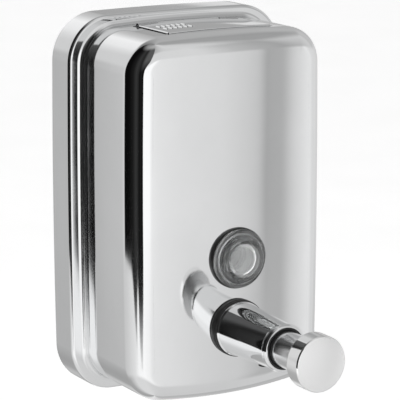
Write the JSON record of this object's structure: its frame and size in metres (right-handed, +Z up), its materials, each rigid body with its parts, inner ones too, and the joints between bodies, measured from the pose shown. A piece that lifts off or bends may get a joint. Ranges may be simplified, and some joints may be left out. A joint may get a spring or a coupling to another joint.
{
  "type": "wall mounted soap dispenser",
  "caption": "Wall mounted soap dispenser: polished stepped steel shell, hinged refill lid on top, round window and a push-knob pump with a tapered chrome barrel.",
  "frame": {"origin": "centre of the wall bracket's four screw holes, on the wall plane", "axes": "+X to the right as seen from the room, the front faces -Y, the wall is the plane Y = 0, +Z up"},
  "size_m": [0.106, 0.1303, 0.165],
  "materials": {
    "polished_stainless": "mirror polished",
    "plain_stainless": "mill finish",
    "bracket_steel": "zinc plated, satin",
    "black_rubber": "matt moulded",
    "clear_plastic": "clear, polished",
    "chrome_plate": "bright plated",
    "white_plastic": "natural moulded",
    "plated_brass": "turned",
    "spring_steel": "drawn wire"
  },
  "bodies": {
    "housing": {"front_shell": "polished_stainless", "back_plate": "plain_stainless", "upper_cleat": "plain_stainless", "lower_cleat": "plain_stainless", "wall_bracket": "bracket_steel", "filler_frame": "plain_stainless", "lid_hinge_pin": "plain_stainless", "lock_housing": "plain_stainless", "lock_rivets": "plain_stainless", "window_gasket": "black_rubber", "window_lens": "clear_plastic", "window_washer": "black_rubber", "window_nut": "white_plastic", "pump_gasket": "black_rubber", "pump_housing": "chrome_plate", "spout_nozzle": "black_rubber", "plunger_wiper": "black_rubber", "pump_washer": "black_rubber", "pump_nut": "plated_brass", "cylinder_seal": "black_rubber", "pump_cylinder": "white_plastic", "inlet_cage": "white_plastic", "pickup_tube": "white_plastic", "return_spring": "spring_steel"},
    "lid": {"refill_lid": "polished_stainless", "lid_seal": "black_rubber", "lid_striker": "plain_stainless"},
    "lock": {"lock_bolt": "plain_stainless"},
    "knob": {"push_knob": "chrome_plate", "plunger": "chrome_plate", "plunger_guide": "white_plastic", "piston": "white_plastic", "piston_seal": "black_rubber", "outlet_spring": "spring_steel"},
    "outlet_valve": {"outlet_ball": "plain_stainless"},
    "inlet_valve": {"inlet_ball": "plain_stainless"}
  },
  "joints": [
    {"name": "knob_push", "type": "slide", "parent": "housing", "child": "knob", "axis": [0, 1, 0], "range_m": [0, 0.013], "stiffness_N_per_m": 350, "springref_m": -0.012, "deforming": ["return_spring"]},
    {"name": "lid_hinge", "type": "hinge", "parent": "housing", "child": "lid", "pos_m": [0, -0.0245, 0.0775], "axis": [-1, 0, 0], "range_deg": [0, 100]},
    {"name": "lock_slide", "type": "slide", "parent": "housing", "child": "lock", "axis": [1, 0, 0], "range_m": [0, 0.0028]},
    {"name": "inlet_lift", "type": "slide", "parent": "housing", "child": "inlet_valve", "axis": [0, -1, 0], "range_m": [0, 0.0012]},
    {"name": "outlet_lift", "type": "slide", "parent": "knob", "child": "outlet_valve", "axis": [0, -1, 0], "range_m": [0, 0.0012], "stiffness_N_per_m": 60, "springref_m": -0.002, "deforming": ["outlet_spring"]}
  ]
}
